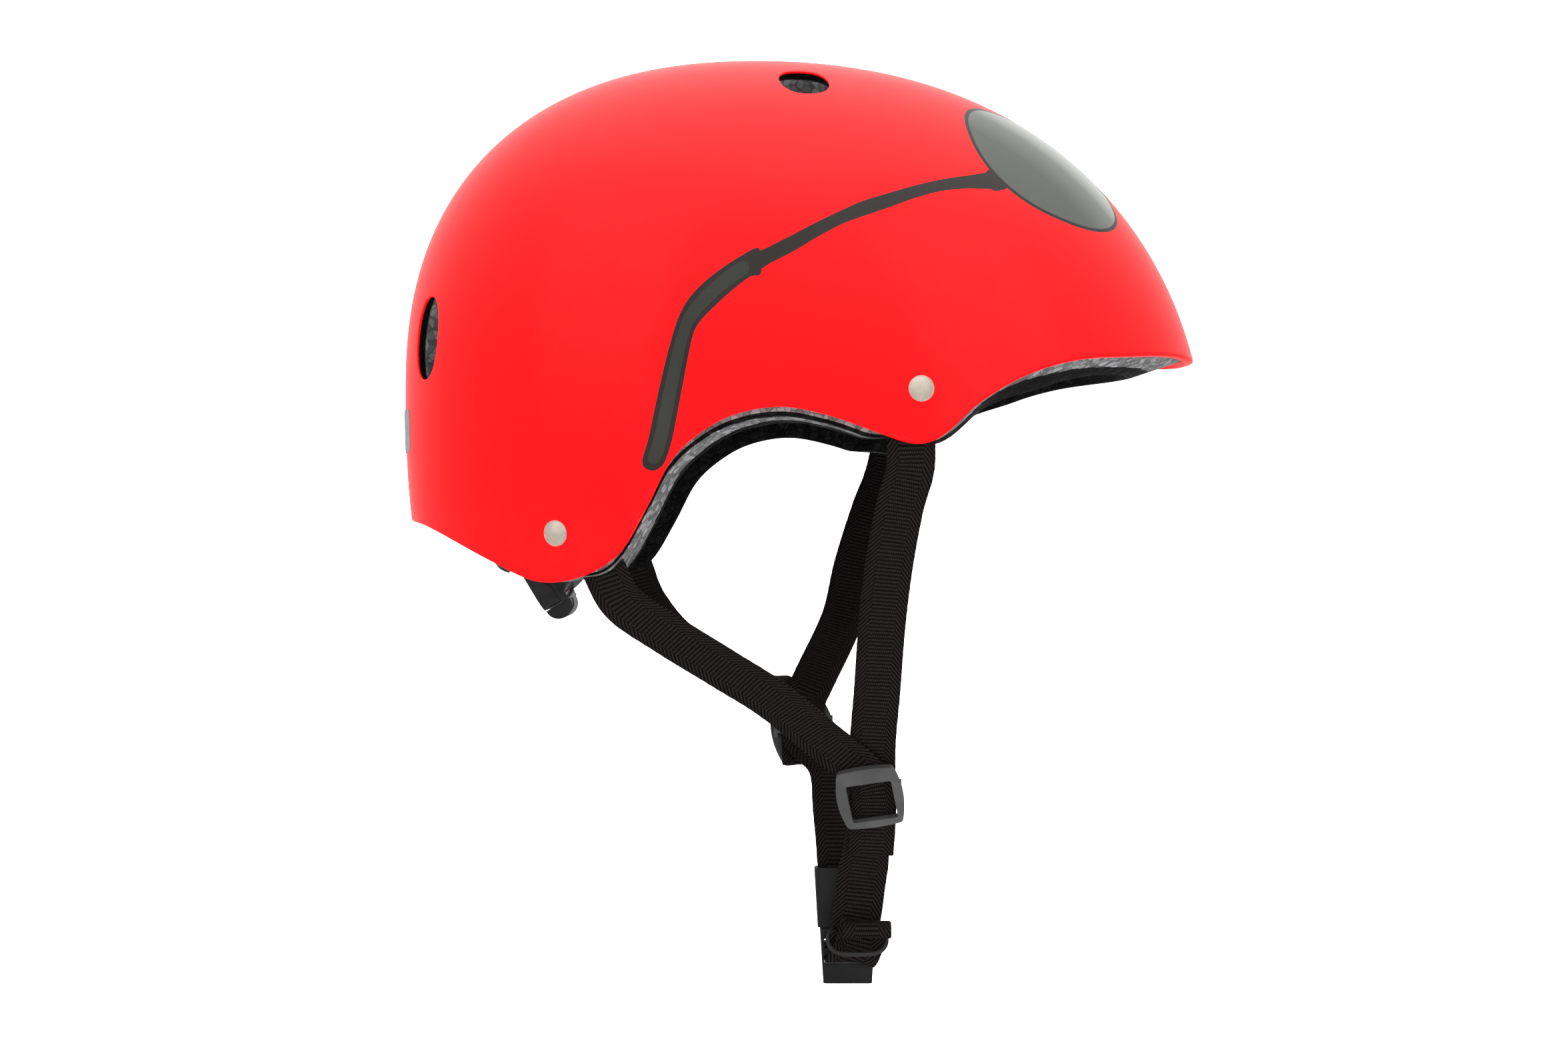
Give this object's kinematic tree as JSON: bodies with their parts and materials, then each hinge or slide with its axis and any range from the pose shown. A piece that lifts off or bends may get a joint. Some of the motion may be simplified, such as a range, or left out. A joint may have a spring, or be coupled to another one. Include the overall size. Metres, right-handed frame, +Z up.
{
  "type": "helmet",
  "caption": "Child's hard-shell helmet with short visor, foam liner, pads, side-rivet webbing harness, side-release chin buckle and a rear fit dial that draws in two bands.",
  "frame": {"origin": "middle of the head cavity at brow level, where the head is held", "axes": "+X to the front, +Z up through the crown, +Y to the wearer's left"},
  "size_m": [0.263, 0.2, 0.3079],
  "materials": {
    "shell": "gloss",
    "foam": "beaded foam",
    "badge": "satin",
    "pad": "brushed knit",
    "hook": "hook tape",
    "rivet": "satin nickel",
    "webbing": "woven",
    "harness_plastic": "fine texture",
    "ring_rubber": "matt",
    "buckle_plastic": "satin",
    "cradle_plastic": "gloss",
    "spring": "bright",
    "dial_plastic": "fine texture",
    "pinion_plastic": "matt",
    "band_plastic": "matt"
  },
  "bodies": {
    "helmet": {"outer_shell": "shell", "eps_liner": "foam", "rear_badge": "badge", "crown_pad": "pad", "brow_pad": "pad", "nape_pad": "pad", "right_temple_pad": "pad", "left_temple_pad": "pad", "right_rear_pad": "pad", "left_rear_pad": "pad", "hook_dots": "hook", "front_rivets": "rivet", "rear_rivets": "rivet", "rivet_washers": "rivet", "right_front_strap": "webbing", "left_front_strap": "webbing", "right_rear_strap": "webbing", "left_rear_strap": "webbing", "buckle_socket": "buckle_plastic", "fit_yoke": "cradle_plastic", "yoke_pins": "cradle_plastic", "dial_housing": "cradle_plastic", "click_spring": "spring"},
    "plug": {"strap_tail": "webbing", "buckle_plug": "buckle_plastic"},
    "right_slider_body": {"right_slider": "harness_plastic"},
    "left_slider_body": {"left_slider": "harness_plastic"},
    "keeper": {"keeper_ring": "ring_rubber"},
    "front_squeeze_arm": {"front_prong": "buckle_plastic"},
    "rear_squeeze_arm": {"rear_prong": "buckle_plastic"},
    "dial": {"fit_dial": "dial_plastic", "drive_pinion": "pinion_plastic"},
    "right_band": {"right_fit_band": "band_plastic"},
    "left_band": {"left_fit_band": "band_plastic"}
  },
  "joints": [
    {"name": "dial_turn", "type": "hinge", "parent": "helmet", "child": "dial", "pos_m": [-0.0945, 0, -0.053], "axis": [0.8572, 0, 0.515], "range_deg": [-20, 115]},
    {"name": "right_band_slide", "type": "slide", "parent": "helmet", "child": "right_band", "axis": [0, 1, 0], "range_m": [-0.0016, 0.0085]},
    {"name": "left_band_slide", "type": "slide", "parent": "helmet", "child": "left_band", "axis": [0, -1, 0], "range_m": [-0.0016, 0.0085]},
    {"name": "buckle_release", "type": "slide", "parent": "helmet", "child": "plug", "axis": [0, 0, -1], "range_m": [0, 0.017], "deforming": ["right_front_strap", "front_prong", "rear_prong"]},
    {"name": "front_prong_squeeze", "type": "hinge", "parent": "plug", "child": "front_squeeze_arm", "pos_m": [0.0279, 0.004, -0.1858], "axis": [0, -1, 0], "range_deg": [0, 8], "stiffness_Nm_per_rad": 0.3},
    {"name": "rear_prong_squeeze", "type": "hinge", "parent": "plug", "child": "rear_squeeze_arm", "pos_m": [0.0149, 0.004, -0.1858], "axis": [0, 1, 0], "range_deg": [0, 8], "stiffness_Nm_per_rad": 0.3},
    {"name": "right_slider_slide", "type": "slide", "parent": "helmet", "child": "right_slider_body", "axis": [0.033, -0.509, 0.8601], "range_m": [-0.008, 0.008], "deforming": ["right_rear_strap"]},
    {"name": "left_slider_slide", "type": "slide", "parent": "helmet", "child": "left_slider_body", "axis": [0, 0.515, 0.8572], "range_m": [-0.004, 0.006], "deforming": ["left_rear_strap"]},
    {"name": "keeper_slide", "type": "slide", "parent": "plug", "child": "keeper", "axis": [0, 0, 1], "range_m": [0, 0.0015]}
  ],
  "couplings": [
    {"joint": "right_band_slide", "follows": "dial_turn", "m_per_rad": 0.0042},
    {"joint": "left_band_slide", "follows": "dial_turn", "m_per_rad": 0.0042}
  ]
}
